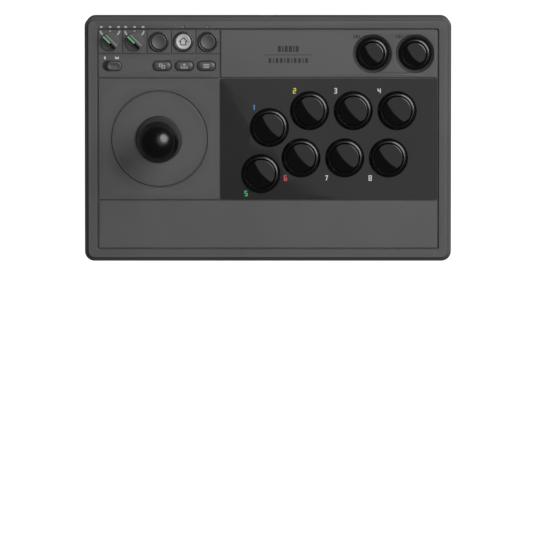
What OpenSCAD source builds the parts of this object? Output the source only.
// Arcade joystick panel: a flat case with a ball-top stick, ten push buttons and a
// cluster of small controls. Millimetres, +Z up, +Y to the rear, origin under the
// middle of the case on the surface that it stands on.

/* [Case] */
// Width of the case
case_w = 304; // [300:1:380]
// Depth of the case, front to rear
case_d = 202.6; // [196:0.2:260]
// Height of the deck above the table
deck_h = 55; // [53:0.5:70]
// Radius of the four upright corners
corner_r = 8; // [6:0.5:12]
// Radius along the upper edge
edge_r = 3.2; // [1.5:0.1:5]
// Thickness of the side walls
wall = 3; // [2.4:0.1:4]
// Thickness of the case under the deck panels
top_t = 3; // [2.5:0.1:4]
// Distance from a side face to the middle of the groove round the deck
border = 11; // [9:0.5:16]
// Distance from the front and the rear face to the middle of that groove
border_d = 10.3; // [9:0.1:16]

/* [Deck panels] */
// Thickness of the panels that lie in the deck
panel_t = 2; // [1.5:0.1:3]
// Width of the groove between two panels
groove_w = 1; // [0.6:0.1:1.6]
// Side of the square panel round the stick, and width of the control cluster
stick_cell = 101.2; // [98:0.2:112]
// Depth of the rear and the front strip of the deck
strip_d = 40.3; // [38:0.1:48]
// Depth of the row of five small cells
cell_d = 20.3; // [19:0.1:22]
// Diameter of the engraved circle round the stick
ring_d = 79.6; // [60:0.2:90]
// Width of the engraved circle
ring_w = 1.1; // [0.5:0.1:2]

/* [Joystick] */
// Diameter of the ball
ball_d = 35; // [30:0.5:42]
// Height of the ball's top above the deck
ball_top_h = 62.5; // [56:0.5:72]
// Diameter of the shaft above the pivot
shaft_d = 9.5; // [9:0.1:10.5]
// Diameter of the shaft's tail below the pivot
tail_d = 8; // [7.4:0.1:8.6]
// Depth of the pivot below the deck
pivot_drop = 21; // [20:0.5:24]
// Diameter of the pivot ball
pivot_d = 20; // [17:0.1:24]
// Largest tilt to each side, in degrees
tilt_max = 9; // [6:0.5:10]
// Diameter of the dust washer
washer_d = 38.8; // [36:0.2:44]
// Diameter of the hole in the deck that the shaft tilts in
stick_hole_d = 25; // [24:0.5:28]

/* [Main buttons] */
// Diameter of the hole for a main button
main_hole_d = 30; // [25:0.5:34]
// How far a main button's flange stands out over its hole
main_lip = 1.25; // [0.8:0.05:1.75]
// Distance from the edge of a main button's hole to the edge of its cap
main_rim = 2.9; // [2.6:0.1:4]
// Height of a main cap's edge above its flange
main_cap_rise = 1.6; // [1:0.1:3]
// Travel of a main button
main_travel = 3; // [2:0.1:3.5]
// Space between the flanges of a row
main_space = 3.8; // [2:0.1:5.5]
// Space between the flanges of the upper and the lower row
row_space = 6.7; // [3.5:0.1:9.5]
// How far the lower row stands to the left of the upper one
row_shift = 7.1; // [0:0.1:9]
// How far the two rows' middle stands behind the panel's middle
rows_up = 4.1; // [0:0.1:6]
// Sideways space between the first button of a row and its outer button
outer_space = 0.8; // [0:0.1:3]
// How far the outer button stands in front of its row, upper row
outer_drop_upper = 14.05; // [8:0.05:16]
// How far the outer button stands in front of its row, lower row
outer_drop_lower = 13.1; // [8:0.1:16]

/* [Small buttons] */
// Diameter of the hole for a small button
small_hole_d = 24; // [20:0.5:27]
// How far a small button's flange stands out over its hole
small_lip = 1.9; // [1.2:0.1:2.4]
// Distance from the edge of a small button's hole to the edge of its cap
small_rim = 2.4; // [2:0.1:3]
// Width of the open ring round a small button's flange
small_ring = 2.1; // [1.5:0.1:3]
// Travel of a small button
small_travel = 2.4; // [1.6:0.1:2.8]
// Space between the two small buttons' wells
small_space = 3.3; // [2:0.1:8]
// Space between the outer well and the deck's edge
small_margin = 3.2; // [2:0.1:8]

/* [Control cluster] */
// Diameter of a selector knob
knob_d = 15.4; // [13:0.2:17]
// Width of the knob's grip bar
knob_bar_w = 4.8; // [3.5:0.1:6]
// Height of the knob above the deck
knob_h = 6.2; // [4:0.1:8]
// Diameter of a round key's cap
key_d = 12.4; // [10:0.1:14.9]
// Width of the collar round a round key
collar_w = 1.95; // [1.2:0.05:2.2]
// Height of a round key above the deck
key_h = 2.6; // [1.8:0.1:3.5]
// Length of a pill key
pill_l = 15.2; // [12:0.1:16]
// Width of a pill key
pill_w = 7.6; // [6:0.1:8]
// Distance between two pill keys
pill_pitch = 18.35; // [17.5:0.05:19]
// Travel of the round and the pill keys
key_travel = 0.8; // [0.4:0.1:1.2]
// Length of the slide switch's knob
slider_l = 12.6; // [10:0.1:13]
// Travel of the slide switch
slider_travel = 3.2; // [2:0.1:3.2]

/* [Base] */
// Thickness of the rubber mat
mat_t = 2.4; // [1.5:0.1:4]
// Thickness of the steel base plate
plate_t = 2; // [1.2:0.1:3]
// Width of the bare rim round the mat
mat_inset = 5.2; // [4:0.1:8]
// Width of the well in the rear wall that a plug goes into
port_w = 14; // [12:0.5:16]
// Height of that well
port_h = 8; // [7:0.5:9]
// Depth of that well
port_depth = 5.5; // [5:0.1:7]

/* [Hidden] */
$fn = 96;

// clearances
fit = 0.25; // between a moving cap or key and its hole
pill_gap = 0.55; // round a pill key in its opening
lip = 0.85; // how far a key's retaining flange stands out of its cap
hole_gap = 0.2; // between a button's barrel and its hole
shaft_gap = 0.05; // between a turning shaft and its bore
seat_gap = 0.1; // between a sliding disc and the face under it
over = 1; // how far a cutter runs past the face it cuts

// levels
deck_floor = deck_h - panel_t; // face that the panels lie on
roof = deck_floor - top_t; // underside of the case's top
plate_top = mat_t + plate_t;
rim_z = mat_t / 2; // lower edge of the side walls

// deck layout
deck_x = case_w / 2 - border;
deck_y = case_d / 2 - border_d;
split_x = -deck_x + stick_cell;
split_rear = deck_y - strip_d;
split_front = -deck_y + strip_d;
mid_y = (split_rear + split_front) / 2;
stick_x = -deck_x + stick_cell / 2;
field_x = (split_x + deck_x) / 2;
rear_strip_y = deck_y - strip_d / 2;
deck_corner_r = 1.6;

// control cluster layout
cell_w = stick_cell / 5;
cell_y = deck_y - cell_d / 2;
lower_y = (split_rear + deck_y - cell_d) / 2;
function cell_x(i) = -deck_x + (i + 0.5) * cell_w;
pill_x = [for (i = [2, 1, 0]) split_x - pill_l / 2 - 3.7 - i * pill_pitch];
slider_x = -deck_x + 11.8;
slot_l = slider_l + slider_travel + 2 * fit;
slider_w = pill_w + 0.5;
pipe_x = [cell_x(3), cell_x(4)];
pipe_y = deck_y + 2.3;
pipe_r = 0.75;

// main and small buttons
main_flange_d = main_hole_d + 2 * main_lip;
main_cap_d = main_hole_d - 2 * main_rim;
pitch = main_flange_d + main_space;
row_gap = main_flange_d + row_space;
outer_dx = main_flange_d + outer_space;
small_flange_d = small_hole_d + 2 * small_lip;
small_cap_d = small_hole_d - 2 * small_rim;
small_well_d = small_flange_d + 2 * small_ring;
small_pitch = small_well_d + small_space;
small_inset = small_well_d / 2 + small_margin;
row_x = field_x - (outer_dx + row_shift + 2 * pitch) / 2 + row_shift + outer_dx;
upper_y = mid_y + rows_up + row_gap / 2;
lower_row_y = upper_y - row_gap;
main_places = [
    [row_x - outer_dx, upper_y - outer_drop_upper],
    for (i = [0:2]) [row_x + i * pitch, upper_y],
    [row_x - row_shift - outer_dx, lower_row_y - outer_drop_lower],
    for (i = [0:2]) [row_x - row_shift + i * pitch, lower_row_y]
];
small_places = [for (i = [1, 0]) [deck_x - small_inset - i * small_pitch, rear_strip_y]];

// one button, measured from the face that its flange lies on
flange_h = 3.2;
crest_in = 2.4; // from the flange's outer edge to its crest
barrel_drop = 13;
switch_drop = 23.4;
stem_r = 2.2;
floor_t = 2;
terminal_l = 6.5;

// fasteners
screw_r = 1.5;
screw_gap = 0.1;
boss_r = 4;
head_r = 2.75;
head_h = 1.6;
boss_in = wall + boss_r + 2.5; // boss axis from the outer face
boss_x = 36; // bosses in the long sides, from the middle
boss_places = [
    for (sx = [-1, 1], sy = [-1, 1]) [sx * (case_w / 2 - boss_in), sy * (case_d / 2 - boss_in)],
    for (sx = [-1, 1], sy = [-1, 1]) [sx * boss_x, sy * (case_d / 2 - boss_in)]
];

// joystick, measured from the pivot
pivot_z = deck_h - pivot_drop;
ball_z = ball_top_h + pivot_drop - ball_d / 2;
stick_plate_t = 1.6;
stick_post = 2;
housing_top = pivot_drop - panel_t - top_t - stick_post - stick_plate_t;
housing_w = 62;
housing_wall = 2.5;
liner_t = 0.8;
liner_gap = 0.15;
socket_r = pivot_d / 2 + liner_t + 2 * liner_gap;
pivot_cut = 0.8 * pivot_d / 2;
hub_r = pivot_d / 2 + 5;
hub_z = -0.42 * pivot_d; // underside of the hub, where the spring bears
socket_mouth_r = sqrt(pow(socket_r, 2) - pow(hub_z, 2));
spring_h = 6;
wire_d = 1.2;
actuator_r = 0.35 * pivot_d;
actuator_top = hub_z - spring_h - 0.2;
actuator_h = 4.8;
clip_t = 0.8;
clip_z = actuator_top - actuator_h - 0.1 - clip_t;
board_t = 1.6;
stick_board_z = clip_z - clip_t - board_t;
gate_t = 2.6;
gate_z = stick_board_z - gate_t - 0.1;
tail_z = gate_z - 1.6;
gate_half = (tail_d / 2 + abs(gate_z) * sin(tilt_max)) / cos(tilt_max) + 0.3;
ball_flat = ball_z - sqrt(pow(ball_d / 2, 2) - pow(shaft_d / 2 + 0.8, 2));
thread_r = 3;
thread_l = 12;
stick_bolt_dx = 42;
stick_bolt_dy = 20;
switch_l = 20;
switch_d = 10;
switch_h = 6.4;
nub_reach = 1.4;
switch_in = actuator_r + abs(actuator_top - actuator_h) * sin(tilt_max) + 0.5 + nub_reach;
glide_h = 0.6;
washer_h = 1.6;
washer_z = deck_h + 2 * seat_gap + glide_h;

// boards and battery
control_post = 6.5;
control_board_z = roof - control_post - board_t;
control_board_y = [split_rear + 2.8, deck_y - 3.5];
control_board_x = [-deck_x + 4, split_x - 2.2];
control_posts = [
    [-deck_x + cell_w, cell_y - cell_d / 2],
    for (i = [2, 4]) [-deck_x + i * cell_w, lower_y - 3.6],
    for (i = [2, 4]) [-deck_x + i * cell_w, cell_y + 3.2]
];
port_z = 23.2;
usb_w = 9;
usb_h = 3.2;
usb_l = 10;
main_board_z = port_z - usb_h / 2 - board_t;
main_board_x = [-36, 66];
main_board_y = [case_d / 2 - 47, case_d / 2 - 14];
main_posts = [for (x = [-30, 60], y = [case_d / 2 - 42, case_d / 2 - 18]) [x, y]];
post_r = 3;
port_floor = case_d / 2 - port_depth;
port_skin = 2;
port_recess_w = 12.4;
port_recess = 0.8;
port_recess_z = [port_z - port_h / 2 - 2, deck_h - edge_r - 2];
battery = [60, 36, 8];
connector = [12, 5, 6];
loom_z = 12;
loom_r = 2.1;
wire_r = 1.2;
loom_y = mid_y + rows_up;
loom_turn_x = 50;
stick_loom_x = -28;
ribbon_w = 14;
ribbon_t = 0.8;

// ---- shapes that repeat -------------------------------------------------

// flat rectangle with round corners, centred
module round_rect(w, d, r) {
    square([w - 2 * r, d], center = true);
    square([w, d - 2 * r], center = true);
    for (sx = [-1, 1], sy = [-1, 1])
        translate([sx * (w / 2 - r), sy * (d / 2 - r)]) circle(r);
}

module round_slab(w, d, h, r) {
    linear_extrude(h) round_rect(w, d, r);
}

// flat shape of a slot with round ends, along X
module stadium(l, w) {
    square([l - w, w], center = true);
    for (s = [-1, 1])
        translate([s * (l - w) / 2, 0]) circle(w / 2);
}

// rectangle from the axis outwards, with its upper outer corner rounded
module edge_section(r, h, e) {
    square([r, h - e]);
    square([r - e, h]);
    translate([r - e, h - e]) intersection() {
        circle(e);
        square(e);
    }
}

// block with round upright corners and a rounded upper edge, centred in X and Y
module soft_block(w, d, h, r, e) {
    translate([0, 0, h / 2]) cube([w - 2 * r, d - 2 * r, h], center = true);
    for (turn = [0, 180]) rotate(turn) {
        translate([w / 2 - r, d / 2 - r, 0]) rotate([90, 0, 0])
            linear_extrude(d - 2 * r) edge_section(r, h, e);
        translate([-w / 2 + r, d / 2 - r, 0]) rotate([90, 0, 90])
            linear_extrude(w - 2 * r) edge_section(r, h, e);
    }
    for (sx = [0, 1], sy = [0, 1])
        mirror([sx, 0, 0]) mirror([0, sy, 0]) translate([w / 2 - r, d / 2 - r, 0])
            rotate_extrude(angle = 90) edge_section(r, h, e);
}

// round cap of radius r: edge height h, edge rounding e, crown above the edge
module crowned_disc(r, h, e, crown) {
    reach = r - e;
    big = (reach * reach + crown * crown) / (2 * crown);
    rotate_extrude() {
        edge_section(r, h, e);
        intersection() {
            square([reach, h + crown]);
            translate([0, h + crown - big]) circle(big, $fn = 256);
        }
    }
}

// key with a stadium outline and a rounded upper edge, along X
module pill_block(l, w, h, e) {
    for (turn = [0, 180]) rotate(turn) {
        translate([(l - w) / 2, 0, 0]) rotate([0, 0, -90])
            rotate_extrude(angle = 180) edge_section(w / 2, h, e);
        translate([-(l - w) / 2, 0, 0]) rotate([90, 0, 90])
            linear_extrude(l - w) edge_section(w / 2, h, e);
    }
}

// wire along a list of points, with a ball a little thicker than the wire at each bend
module wire_run(points, r) {
    for (i = [0:len(points) - 2]) {
        step = points[i + 1] - points[i];
        translate(points[i])
            rotate([0, acos(step[2] / norm(step)), atan2(step[1], step[0])])
                cylinder(h = norm(step), r = r);
    }
    for (i = [1:1:len(points) - 2]) translate(points[i]) sphere(r * 1.2);
}

// cap screw with its head at z = 0 and its shank upwards
module cap_screw(shank_l, r, hr, hh) {
    difference() {
        union() {
            cylinder(h = shank_l, r = r);
            translate([0, 0, -hh]) cylinder(h = hh, r = hr);
        }
        translate([0, 0, -hh - over]) cylinder(h = hh * 0.6 + over, r = hr * 0.45, $fn = 6);
    }
}

// ---- case ---------------------------------------------------------------

module screw_bosses() {
    for (p = boss_places) translate([p[0], p[1], plate_top])
        cylinder(h = roof - plate_top + over, r = boss_r);
    for (sx = [-1, 1], sy = [-1, 1])
        translate([stick_x + sx * stick_bolt_dx, mid_y + sy * stick_bolt_dy, roof - stick_post])
            cylinder(h = stick_post + over, r = boss_r);
    for (p = control_posts) translate([p[0], p[1], roof - control_post])
        cylinder(h = control_post + over, r = post_r);
    for (p = main_posts) translate([p[0], p[1], main_board_z + board_t])
        cylinder(h = roof - main_board_z - board_t + over, r = post_r);
}

module boss_bores() {
    bore_r = screw_r + screw_gap;
    for (p = boss_places) translate([p[0], p[1], plate_top - over])
        cylinder(h = 13, r = bore_r);
    for (sx = [-1, 1], sy = [-1, 1])
        translate([stick_x + sx * stick_bolt_dx, mid_y + sy * stick_bolt_dy, roof - stick_post - over])
            cylinder(h = stick_post + over + top_t - 1, r = bore_r);
    for (p = control_posts) translate([p[0], p[1], roof - control_post - over])
        cylinder(h = control_post + over, r = bore_r);
    for (p = main_posts) translate([p[0], p[1], main_board_z + board_t - over])
        cylinder(h = 9 + over, r = bore_r);
}

// openings through the case's top, under the panels
module deck_openings() {
    through = top_t + 2 * over;
    translate([stick_x, mid_y, roof - over]) cylinder(h = through, d = stick_hole_d);
    for (p = main_places) translate([p[0], p[1], roof - over])
        cylinder(h = through, d = main_hole_d);
    for (p = small_places) translate([p[0], p[1], roof - over])
        cylinder(h = through, d = small_hole_d);
    for (i = [0, 1]) translate([cell_x(i), cell_y, roof - over])
        cylinder(h = through, r = 3.4);
    for (i = [2:4]) translate([cell_x(i), cell_y, roof - over]) {
        cylinder(h = through, r = stem_r + 0.4);
        translate([0, 0, over + top_t - 1.5]) cylinder(h = 1.5 + over, r = key_d / 2 + lip + 0.4);
    }
    for (x = pill_x) translate([x, lower_y, roof - over]) {
        cylinder(h = through, r = stem_r + 0.4);
        translate([0, 0, over + top_t - 1.5]) linear_extrude(1.5 + over)
            stadium(pill_l + 2 * lip + 0.6, pill_w + 2 * lip + 0.6);
    }
    translate([slider_x, lower_y, roof - over]) linear_extrude(through)
        stadium(slider_travel + 8, 3.4);
    for (x = pipe_x) translate([x, pipe_y, roof - over])
        cylinder(h = top_t + panel_t + 2 * over, r = pipe_r + shaft_gap);
}

module top_case() color([0.33, 0.33, 0.33]) {
    difference() {
        union() {
            difference() {
                translate([0, 0, rim_z])
                    soft_block(case_w, case_d, deck_h - rim_z, corner_r, edge_r);
                translate([0, 0, rim_z - over])
                    round_slab(case_w - 2 * wall, case_d - 2 * wall, roof - rim_z + over,
                        corner_r - wall);
            }
            screw_bosses();
            translate([0, case_d / 2 - wall, port_z])
                rotate([90, 0, 0]) linear_extrude(port_depth - wall + port_skin)
                    square([port_w + 4, port_h + 4], center = true);
        }
        translate([0, 0, deck_floor])
            round_slab(2 * deck_x + groove_w, 2 * deck_y + groove_w, panel_t + over, deck_corner_r);
        deck_openings();
        boss_bores();
        // well for the plug, its shallow surround and the socket's mouth
        translate([0, case_d / 2 + over, port_z]) rotate([90, 0, 0])
            linear_extrude(port_depth + over) round_rect(port_w, port_h, 2);
        translate([0, case_d / 2 + over, (port_recess_z[0] + port_recess_z[1]) / 2])
            rotate([90, 0, 0]) linear_extrude(port_recess + over)
                round_rect(port_recess_w, port_recess_z[1] - port_recess_z[0], 1);
        translate([0, port_floor + over, port_z]) rotate([90, 0, 0])
            linear_extrude(port_skin + 2 * over)
                round_rect(usb_w + 2 * hole_gap, usb_h + 2 * hole_gap, 1.3);
    }
}

module base_plate() color([0.62, 0.63, 0.64]) {
    difference() {
        translate([0, 0, mat_t]) round_slab(case_w - 2 * wall - 2 * fit,
            case_d - 2 * wall - 2 * fit, plate_t, corner_r - wall);
        for (p = boss_places) translate([p[0], p[1], mat_t - over])
            cylinder(h = plate_t + 2 * over, r = screw_r + screw_gap);
    }
}

module grip_mat() color([0.1, 0.1, 0.1]) {
    difference() {
        round_slab(case_w - 2 * mat_inset, case_d - 2 * mat_inset, mat_t, corner_r - wall);
        for (p = boss_places) translate([p[0], p[1], -over])
            cylinder(h = mat_t + 2 * over, r = head_r + 1);
        // shallow grip ribs
        for (i = [-6:6]) translate([i * 20, 0, -over])
            linear_extrude(over + 0.5) square([6, case_d - 60], center = true);
    }
}

module base_screws() color([0.2, 0.2, 0.21])
    for (p = boss_places) translate([p[0], p[1], mat_t])
        cap_screw(plate_t + 8, screw_r, head_r, head_h);

module light_pipes() color([0.85, 0.86, 0.86])
    for (x = pipe_x) translate([x, pipe_y, roof])
        cylinder(h = top_t + panel_t, r = pipe_r);

// ---- deck panels --------------------------------------------------------

// panel between x0 and x1, y0 and y1, which are the middles of its grooves
module deck_panel(x0, x1, y0, y1) {
    translate([(x0 + x1) / 2, (y0 + y1) / 2, deck_floor])
        round_slab(x1 - x0 - groove_w, y1 - y0 - groove_w, panel_t, deck_corner_r - groove_w / 2);
}

module stick_panel() color([0.34, 0.34, 0.34]) difference() {
    deck_panel(-deck_x, split_x, split_front, split_rear);
    translate([stick_x, mid_y, deck_floor - over])
        cylinder(h = panel_t + 2 * over, d = stick_hole_d);
    translate([stick_x, mid_y, deck_h - 0.5]) difference() {
        cylinder(h = over + 0.5, d = ring_d + ring_w);
        translate([0, 0, -over]) cylinder(h = 3 * over, d = ring_d - ring_w);
    }
}

module button_panel() color([0.21, 0.21, 0.21]) difference() {
    deck_panel(split_x, deck_x, split_front, split_rear);
    for (p = main_places) translate([p[0], p[1], deck_floor - over])
        cylinder(h = panel_t + 2 * over, d = main_hole_d);
}

module title_panel() color([0.35, 0.35, 0.35]) difference() {
    deck_panel(split_x, deck_x, split_rear, deck_y);
    for (p = small_places) translate([p[0], p[1], deck_floor - over])
        cylinder(h = panel_t + 2 * over, d = small_well_d);
}

module palm_panel() color([0.34, 0.34, 0.34])
    deck_panel(-deck_x, deck_x, -deck_y, split_front);

module key_collar() {
    translate([0, 0, deck_h - 0.1]) rotate_extrude()
        translate([key_d / 2 + fit, 0]) {
            square([collar_w, 0.8]);
            translate([collar_w / 2, 0.8]) intersection() {
                circle(collar_w / 2);
                translate([-collar_w, 0]) square([2 * collar_w, collar_w]);
            }
        }
}

module control_fascia() color([0.33, 0.33, 0.33]) {
    engraving = 0.9;
    difference() {
        union() {
            deck_panel(-deck_x, split_x, split_rear, deck_y);
            for (i = [2:4]) translate([cell_x(i), cell_y, 0]) key_collar();
        }
        for (i = [1:4])
            translate([-deck_x + i * cell_w - engraving / 2, cell_y - cell_d / 2, deck_h - engraving])
                cube([engraving, cell_d, engraving + 0.01]);
        translate([-deck_x, deck_y - cell_d - engraving / 2, deck_h - engraving])
            cube([stick_cell, engraving, engraving + 0.01]);
        for (i = [0, 1]) translate([cell_x(i), cell_y, deck_floor - over])
            cylinder(h = panel_t + 2 * over, r = 3.4);
        for (i = [2:4]) translate([cell_x(i), cell_y, deck_floor - over]) {
            cylinder(h = panel_t + 3 + over, r = key_d / 2 + fit);
            cylinder(h = over + panel_t / 2, r = key_d / 2 + lip + 0.4);
        }
        for (x = pill_x) translate([x, lower_y, deck_floor - over]) {
            linear_extrude(panel_t + 2 * over)
                stadium(pill_l + 2 * pill_gap, pill_w + 2 * pill_gap);
            linear_extrude(over + panel_t / 2)
                stadium(pill_l + 2 * lip + 0.6, pill_w + 2 * lip + 0.6);
        }
        translate([slider_x, lower_y, deck_floor - over])
            linear_extrude(panel_t + 2 * over) stadium(slot_l, slider_w + 2 * fit);
    }
}

// ---- push buttons -------------------------------------------------------

// body of a push button: flange, barrel with two snap tabs, floor and switch arms
module button_body(flange_r, cap_r, hole_r, floor_under) {
    bore_r = cap_r + fit;
    crest_r = flange_r - crest_in;
    barrel_r = hole_r - hole_gap;
    difference() {
        union() {
            rotate_extrude() polygon([
                [cap_r - 1, 0],
                [flange_r, 0],
                for (t = [0:15:90]) [crest_r + crest_in * cos(t), 0.7 + (flange_h - 0.7) * sin(t)],
                [bore_r, flange_h - 0.7],
                [cap_r - 1, flange_h - 0.7]
            ]);
            translate([0, 0, -barrel_drop]) cylinder(h = barrel_drop + 0.1, r = barrel_r);
            for (turn = [0, 180]) rotate(turn) {
                // snap tab that catches under the case's top
                translate([barrel_r - 1, -3, -floor_under - 4])
                    cube([1.5, 6, 3.9]);
                translate([-4, switch_h / 2, -switch_drop])
                    cube([8, 2.4, switch_drop - barrel_drop + 0.1]);
            }
        }
        translate([0, 0, floor_t - barrel_drop]) cylinder(h = barrel_drop + flange_h, r = bore_r);
        translate([0, 0, -barrel_drop - over]) cylinder(h = floor_t + 2 * over, r = stem_r + 0.8);
    }
}

// moving cap of a push button: crowned disc, skirt and stem
module button_cap(cap_r, top, travel) {
    skirt = flange_h + 4;
    translate([0, 0, flange_h - skirt]) difference() {
        crowned_disc(cap_r, skirt + top, 0.9, 0.55);
        translate([0, 0, -over]) cylinder(h = skirt + over - 0.6, r = cap_r - 1.8);
    }
    stem_end = travel + 0.4 - barrel_drop;
    translate([0, 0, stem_end]) cylinder(h = flange_h - stem_end, r = stem_r);
}

// switch under a button, with its plunger and two blade terminals
module button_switch() {
    translate([-switch_d, -switch_h / 2, -switch_drop])
        cube([2 * switch_d, switch_h, switch_drop - barrel_drop]);
    translate([0, 0, -barrel_drop]) cylinder(h = 0.3, r = 1.2);
    for (s = [-1, 1]) translate([s * 6 - 2.4, -0.4, -switch_drop - terminal_l])
        cube([4.8, 0.8, terminal_l + 0.1]);
}

module at_main(i) translate([main_places[i][0], main_places[i][1], deck_h]) children();
module at_small(i) translate([small_places[i][0], small_places[i][1], deck_floor]) children();

module main_cap(i) color([0.05, 0.05, 0.05])
    at_main(i) button_cap(main_cap_d / 2, main_cap_rise, main_travel);
module small_cap(i) color([0.05, 0.05, 0.05])
    at_small(i) button_cap(small_cap_d / 2, 2.4, small_travel);

module button_bodies() color([0.07, 0.07, 0.07])
    for (i = [0:7]) at_main(i)
        button_body(main_flange_d / 2, main_cap_d / 2, main_hole_d / 2, panel_t + top_t + 0.1);
module button_switches() color([0.15, 0.13, 0.12])
    for (i = [0:7]) at_main(i) button_switch();
module small_button_bodies() color([0.07, 0.07, 0.07])
    for (i = [0, 1]) at_small(i)
        button_body(small_flange_d / 2, small_cap_d / 2, small_hole_d / 2, top_t + 0.1);
module small_button_switches() color([0.15, 0.13, 0.12])
    for (i = [0, 1]) at_small(i) button_switch();

// ---- control cluster ----------------------------------------------------

// three-way selector knob: disc, grip bar turned to the left stop, and shaft
module selector_knob(i) color([0.3, 0.3, 0.3])
    translate([cell_x(i), cell_y, deck_h + 0.3]) {
        crowned_disc(knob_d / 2, 1.6, 0.5, 0.2);
        rotate(45) intersection() {
            translate([0, 0, knob_h / 2]) cube([knob_bar_w, knob_d, knob_h], center = true);
            cylinder(h = knob_h, d = knob_d);
        }
        translate([0, 0, roof - deck_h - 1.8]) cylinder(h = deck_h - roof + 2, r = 3);
    }

// round key: dished cap, retaining flange and stem
module round_key(i) translate([cell_x(i), cell_y, 0]) {
    foot = deck_floor + 0.2;
    difference() {
        translate([0, 0, foot + 0.6])
            crowned_disc(key_d / 2, deck_h + key_h - foot - 0.6, 0.6, 0.05);
        translate([0, 0, deck_h + key_h + 29.6]) sphere(30, $fn = 200);
    }
    translate([0, 0, foot]) cylinder(h = 0.7, r = key_d / 2 + lip);
    translate([0, 0, roof - key_travel]) cylinder(h = foot - roof + key_travel + 0.3, r = stem_r);
}

module pill_key(i) color([0.3, 0.3, 0.3]) translate([pill_x[i], lower_y, 0]) {
    foot = deck_floor + 0.2;
    translate([0, 0, foot + 0.6]) pill_block(pill_l, pill_w, deck_h + 1.1 - foot - 0.6, 0.8);
    translate([0, 0, foot]) linear_extrude(0.7) stadium(pill_l + 2 * lip, pill_w + 2 * lip);
    translate([0, 0, roof - key_travel]) cylinder(h = foot - roof + key_travel + 0.3, r = stem_r);
}

// sliding knob at its right-hand stop
module slider_knob() color([0.3, 0.3, 0.3])
    translate([slider_x + slider_travel / 2, lower_y, 0]) {
        translate([0, 0, deck_floor + seat_gap])
            pill_block(slider_l, slider_w, deck_h + 1.3 - deck_floor - seat_gap, 0.9);
        translate([-3, -1.2, roof - 2]) cube([6, 2.4, top_t + 3]);
    }

module rotary_switches() color([0.12, 0.3, 0.22])
    for (i = [0, 1]) translate([cell_x(i), cell_y, control_board_z + board_t]) {
        difference() {
            translate([-6, -6, 0]) cube([12, 12, control_post - 0.2]);
            translate([0, 0, control_post - 2.4]) cylinder(h = 4, r = 3 + 0.2);
        }
    }

module key_switches() color([0.2, 0.2, 0.2]) {
    height = control_post - 2 * key_travel - 0.1;
    spots = [for (i = [2:4]) [cell_x(i), cell_y], for (x = pill_x) [x, lower_y]];
    for (p = spots) translate([p[0], p[1], control_board_z + board_t]) {
        translate([-3, -3, 0]) cube([6, 6, height - 0.8]);
        translate([0, 0, height - 0.9]) cylinder(h = 0.9, r = 1.6);
    }
}

module slide_switch() color([0.6, 0.6, 0.62])
    translate([slider_x, lower_y, control_board_z + board_t]) difference() {
        translate([-7.5, -3, 0]) cube([15, 6, control_post - 0.5]);
        translate([-3.2 - slider_travel / 2, -1.4, control_post - 3])
            cube([6.4 + slider_travel, 2.8, 4]);
    }

module control_board() color([0.06, 0.25, 0.16]) difference() {
    translate([control_board_x[0], control_board_y[0], control_board_z])
        cube([control_board_x[1] - control_board_x[0], control_board_y[1] - control_board_y[0], board_t]);
    for (p = control_posts) translate([p[0], p[1], control_board_z - over])
        cylinder(h = board_t + 2 * over, r = screw_r + screw_gap);
}

module main_board() color([0.06, 0.25, 0.16]) {
    y1 = main_board_y[1];
    difference() {
        union() {
            translate([main_board_x[0], main_board_y[0], main_board_z])
                cube([main_board_x[1] - main_board_x[0], y1 - main_board_y[0], board_t]);
            translate([-9, y1 - 1, main_board_z])
                cube([18, port_floor - port_skin - 0.3 - y1 + 1, board_t]);
            for (x = [loom_turn_x, stick_loom_x])
                translate([x - connector[0] / 2, main_board_y[0] + 8, main_board_z - connector[2]])
                    cube([connector[0], connector[1], connector[2] + 0.1]);
            translate([12, main_board_y[0] + 12, main_board_z + board_t - 0.1]) cube([14, 14, 1.5]);
            translate([36, main_board_y[0] + 10, main_board_z + board_t - 0.1]) cube([9, 9, 1.3]);
        }
        for (p = main_posts) translate([p[0], p[1], main_board_z - over])
            cylinder(h = board_t + 2 * over, r = screw_r + screw_gap);
    }
}

module board_screws() color([0.7, 0.7, 0.72]) {
    for (p = control_posts) translate([p[0], p[1], control_board_z])
        cap_screw(board_t + 4, screw_r, head_r, head_h);
    for (p = main_posts) translate([p[0], p[1], main_board_z])
        cap_screw(board_t + 7, screw_r, head_r, head_h);
}

// metal shell of the socket with its contact tongue
module usb_socket() color([0.75, 0.75, 0.77])
    translate([0, port_floor - usb_l, port_z]) rotate([-90, 0, 0]) {
        difference() {
            linear_extrude(usb_l) round_rect(usb_w, usb_h, 1.2);
            translate([0, 0, 2]) linear_extrude(usb_l) round_rect(usb_w - 0.6, usb_h - 0.6, 1);
        }
        translate([-3.2, -0.35, 1]) cube([6.4, 0.7, usb_l - 3]);
    }

module battery_pack() color([0.2, 0.28, 0.45])
    translate([field_x - 10, split_front - 16, plate_top + battery[2] / 2]) union() {
        cube(battery, center = true);
        translate([battery[0] / 2, 0, 0]) cube([3, 14, battery[2] - 3], center = true);
    }

// ---- joystick -----------------------------------------------------------

module at_pivot() translate([stick_x, mid_y, pivot_z]) children();

module stick_plate() color([0.66, 0.67, 0.68]) at_pivot() difference() {
    translate([0, 0, housing_top]) round_slab(2 * stick_bolt_dx + 12, housing_w, stick_plate_t, 3);
    translate([0, 0, housing_top - over]) cylinder(h = stick_plate_t + 2 * over, r = 14);
    for (sx = [-1, 1], sy = [-1, 1])
        translate([sx * stick_bolt_dx, sy * stick_bolt_dy, housing_top - over])
            cylinder(h = stick_plate_t + 2 * over, r = screw_r + screw_gap);
}

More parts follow.
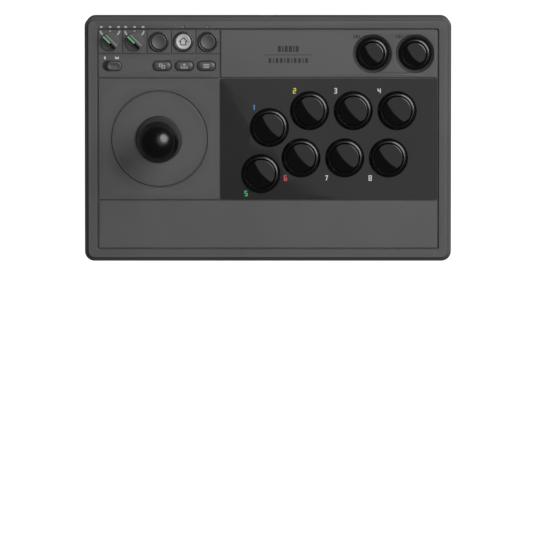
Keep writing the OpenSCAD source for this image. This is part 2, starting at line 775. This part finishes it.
module stick_screws() color([0.25, 0.25, 0.26]) at_pivot()
    for (sx = [-1, 1], sy = [-1, 1])
        translate([sx * stick_bolt_dx, sy * stick_bolt_dy, housing_top])
            cap_screw(stick_plate_t + stick_post + 1.5, screw_r, head_r + 0.5, head_h);

module stick_housing() color([0.1, 0.1, 0.1]) at_pivot() {
    bottom = stick_board_z;
    inner = housing_w - 2 * housing_wall;
    web = 2;
    difference() {
        union() {
            difference() {
                translate([0, 0, bottom]) round_slab(housing_w, housing_w, housing_top - bottom, 3);
                translate([0, 0, bottom - over])
                    round_slab(inner, inner, hub_z - bottom + over, 1);
                translate([0, 0, hub_z + web])
                    round_slab(inner, inner, housing_top - hub_z, 1);
            }
            translate([0, 0, hub_z]) cylinder(h = housing_top - hub_z, r = hub_r);
        }
        sphere(socket_r);
        cylinder(h = housing_top + over, r = socket_r);
    }
}

module pivot_liner() color([0.85, 0.85, 0.83]) at_pivot() difference() {
    sphere(pivot_d / 2 + liner_gap + liner_t);
    sphere(pivot_d / 2 + liner_gap);
    cylinder(h = pivot_d, r = pivot_d);
    translate([0, 0, hub_z + 1.1 - pivot_d]) cylinder(h = pivot_d, r = pivot_d);
}

module pivot_ball() color([0.9, 0.9, 0.88]) at_pivot() difference() {
    intersection() {
        sphere(pivot_d / 2);
        cube([pivot_d, pivot_d, 2 * pivot_cut], center = true);
    }
    translate([0, 0, -pivot_d]) cylinder(h = 2 * pivot_d, r = tail_d / 2 + shaft_gap);
}

module actuator() color([0.9, 0.9, 0.88]) at_pivot()
    translate([0, 0, actuator_top - actuator_h]) difference() {
        union() {
            cylinder(h = actuator_h, r = actuator_r);
            translate([0, 0, actuator_h - 1]) cylinder(h = 1, r = socket_mouth_r + wire_d + 0.3);
        }
        translate([0, 0, -over]) cylinder(h = actuator_h + 2 * over, r = tail_d / 2 + shaft_gap);
    }

// coil spring between the hub and the actuator
function coil_ring(turn, radius, rise) = [
    for (k = [0:7]) let (a = 45 * k, out = radius + wire_d / 2 * cos(a))
        [out * cos(turn), out * sin(turn), rise + wire_d / 2 * sin(a)]
];
function coil_rise(i, count, low, high) = low + (high - low) * i / (count - 1);

module centering_spring() color([0.75, 0.75, 0.76]) at_pivot() {
    turns = 3;
    rings = 20 * turns + 1;
    radius = socket_mouth_r + 0.45;
    low = actuator_top + wire_d / 2 + 0.05;
    high = hub_z - wire_d / 2 - 0.05;
    points = [
        for (i = [0:rings - 1])
            each coil_ring(18 * i, radius, coil_rise(i, rings, low, high))
    ];
    sides = [
        for (i = [0:rings - 2], k = [0:7]) each [
            [8 * i + k, 8 * i + 8 + k, 8 * i + (k + 1) % 8],
            [8 * i + (k + 1) % 8, 8 * i + 8 + k, 8 * i + 8 + (k + 1) % 8]
        ]
    ];
    ends = [[for (k = [0:7]) k], [for (k = [7:-1:0]) 8 * (rings - 1) + k]];
    polyhedron(points, concat(sides, ends), convexity = 8);
}

module stick_shaft() color([0.6, 0.6, 0.61]) at_pivot() {
    difference() {
        union() {
            translate([0, 0, pivot_cut + shaft_gap])
                cylinder(h = ball_flat - pivot_cut - shaft_gap, d = shaft_d);
            translate([0, 0, tail_z]) cylinder(h = pivot_cut - tail_z + 1, d = tail_d);
            translate([0, 0, ball_flat - 1]) cylinder(h = thread_l + 1, r = thread_r);
        }
        translate([0, 0, clip_z - shaft_gap]) difference() {
            cylinder(h = clip_t + 2 * shaft_gap, d = tail_d + 2);
            translate([0, 0, -over]) cylinder(h = clip_t + 2 * over + 1, d = tail_d - 1.8);
        }
        // screwdriver slot in the tail
        translate([-tail_d, -0.6, tail_z - over]) cube([2 * tail_d, 1.2, over + 1.2]);
    }
}

module shaft_clip() color([0.35, 0.35, 0.36]) at_pivot() translate([0, 0, clip_z])
    difference() {
        cylinder(h = clip_t, r = tail_d / 2 + 1.8);
        translate([0, 0, -over]) cylinder(h = clip_t + 2 * over, r = tail_d / 2 - 0.85);
        translate([0, -1.6, -over]) cube([2 * tail_d, 3.2, clip_t + 2 * over]);
    }

module ball_top() color([0.04, 0.04, 0.04]) at_pivot() difference() {
    translate([0, 0, ball_z]) sphere(d = ball_d, $fn = 180);
    translate([0, 0, ball_flat - ball_d]) cylinder(h = ball_d, r = ball_d);
    translate([0, 0, ball_flat - over])
        cylinder(h = thread_l + 0.5 + over, r = thread_r + shaft_gap);
}

module stick_switches() color([0.12, 0.12, 0.13]) at_pivot()
    for (turn = [0:90:270]) rotate(turn)
        translate([switch_in, 0, stick_board_z + board_t + 0.05]) {
            translate([0, -switch_l / 2, 0]) cube([switch_d, switch_l, switch_h]);
            translate([-nub_reach, -1, switch_h / 2 - 1]) cube([nub_reach + 0.1, 2, 2]);
        }

module stick_board() color([0.06, 0.25, 0.16]) at_pivot() difference() {
    side = housing_w - 2 * housing_wall - 1;
    translate([-side / 2, -side / 2, stick_board_z]) cube([side, side, board_t]);
    translate([0, 0, stick_board_z - over]) cylinder(h = board_t + 2 * over, r = 11);
}

module restrictor_gate() color([0.13, 0.13, 0.13]) at_pivot() difference() {
    translate([0, 0, gate_z]) round_slab(housing_w, housing_w, gate_t, 3);
    translate([0, 0, gate_z - over]) linear_extrude(gate_t + 2 * over)
        square(2 * gate_half, center = true);
}

module washer_glide() color([0.2, 0.2, 0.2])
    translate([stick_x, mid_y, deck_h + seat_gap]) difference() {
        cylinder(h = glide_h, r = washer_d / 2 - 1.6);
        translate([0, 0, -over]) cylinder(h = glide_h + 2 * over, r = stick_hole_d / 2 + 0.5);
    }

module dust_washer() color([0.05, 0.05, 0.05])
    translate([stick_x, mid_y, washer_z]) difference() {
        rotate_extrude() edge_section(washer_d / 2, washer_h, 0.7);
        translate([0, 0, -over]) cylinder(h = washer_h + 3 * over, d = shaft_d + 1.2);
    }

// ---- wiring -------------------------------------------------------------

module wire_harness() color([0.08, 0.08, 0.08]) {
    main_end = switch_drop + terminal_l + 0.05;
    plug_z = main_board_z - connector[2];
    plug_y = main_board_y[0] + 8 + connector[1] / 2;
    blade_x = 6;
    first = main_places[4][0] + blade_x;
    last = main_places[3][0] + blade_x;
    // one wire down from each main button and across to the trunk
    for (p = main_places) {
        x = p[0] + blade_x;
        wire_run([[x, p[1], deck_h - main_end], [x, p[1], loom_z], [x, loom_y, loom_z]], wire_r);
    }
    wire_run([[first - 3, loom_y, loom_z], [last + 3, loom_y, loom_z]], loom_r);
    wire_run([[loom_turn_x, loom_y, loom_z], [loom_turn_x, plug_y, loom_z],
        [loom_turn_x, plug_y, plug_z]], 0.7 * loom_r);
    // small buttons' wires, one above the other, into the side of the same plug
    for (i = [0, 1]) {
        x = small_places[i][0] - blade_x;
        y = small_places[i][1];
        z = plug_z + 1.5 + i * 3;
        wire_run([[x, y, deck_floor - main_end], [x, y, z], [x, plug_y, z],
            [loom_turn_x + connector[0] / 2, plug_y, z]], wire_r);
    }
    stick_z = pivot_z + stick_board_z + board_t / 2;
    wire_run([[stick_x + housing_w / 2, mid_y, stick_z], [stick_loom_x, mid_y, stick_z],
        [stick_loom_x, mid_y, loom_z], [stick_loom_x, plug_y, loom_z],
        [stick_loom_x, plug_y, plug_z]], wire_r);
}

// flat cable from the control board down to the main board
module ribbon_cable() color([0.7, 0.7, 0.7]) {
    x = control_board_x[1];
    y = main_board_y[0] + 10;
    low = main_board_z + board_t;
    translate([x, y, low]) cube([ribbon_t, ribbon_w, control_board_z + board_t - low]);
    translate([x, y, low]) cube([main_board_x[0] + 5 - x, ribbon_w, ribbon_t]);
}

top_case();
base_plate();
grip_mat();
base_screws();
control_fascia();
title_panel();
stick_panel();
button_panel();
palm_panel();
light_pipes();
main_board();
usb_socket();
battery_pack();
control_board();
board_screws();
rotary_switches();
key_switches();
slide_switch();
stick_plate();
stick_housing();
stick_screws();
stick_switches();
stick_board();
restrictor_gate();
washer_glide();
dust_washer();
pivot_liner();
pivot_ball();
actuator();
centering_spring();
stick_shaft();
ball_top();
shaft_clip();
button_bodies();
button_switches();
small_button_bodies();
small_button_switches();
main_cap(0);  // button_cap_1
main_cap(1);  // button_cap_2
main_cap(2);  // button_cap_3
main_cap(3);  // button_cap_4
main_cap(4);  // button_cap_5
main_cap(5);  // button_cap_6
main_cap(6);  // button_cap_7
main_cap(7);  // button_cap_8
small_cap(0);  // small_cap_left
small_cap(1);  // small_cap_right
selector_knob(0);  // mode_knob
selector_knob(1);  // wireless_knob
color([0.3, 0.3, 0.3]) round_key(2);  // round_key_left
color([0.85, 0.85, 0.85]) round_key(3);  // home_key
color([0.3, 0.3, 0.3]) round_key(4);  // round_key_right
pill_key(0);  // pill_key_left
pill_key(1);  // pill_key_middle
pill_key(2);  // pill_key_right
slider_knob();
wire_harness();
ribbon_cable();
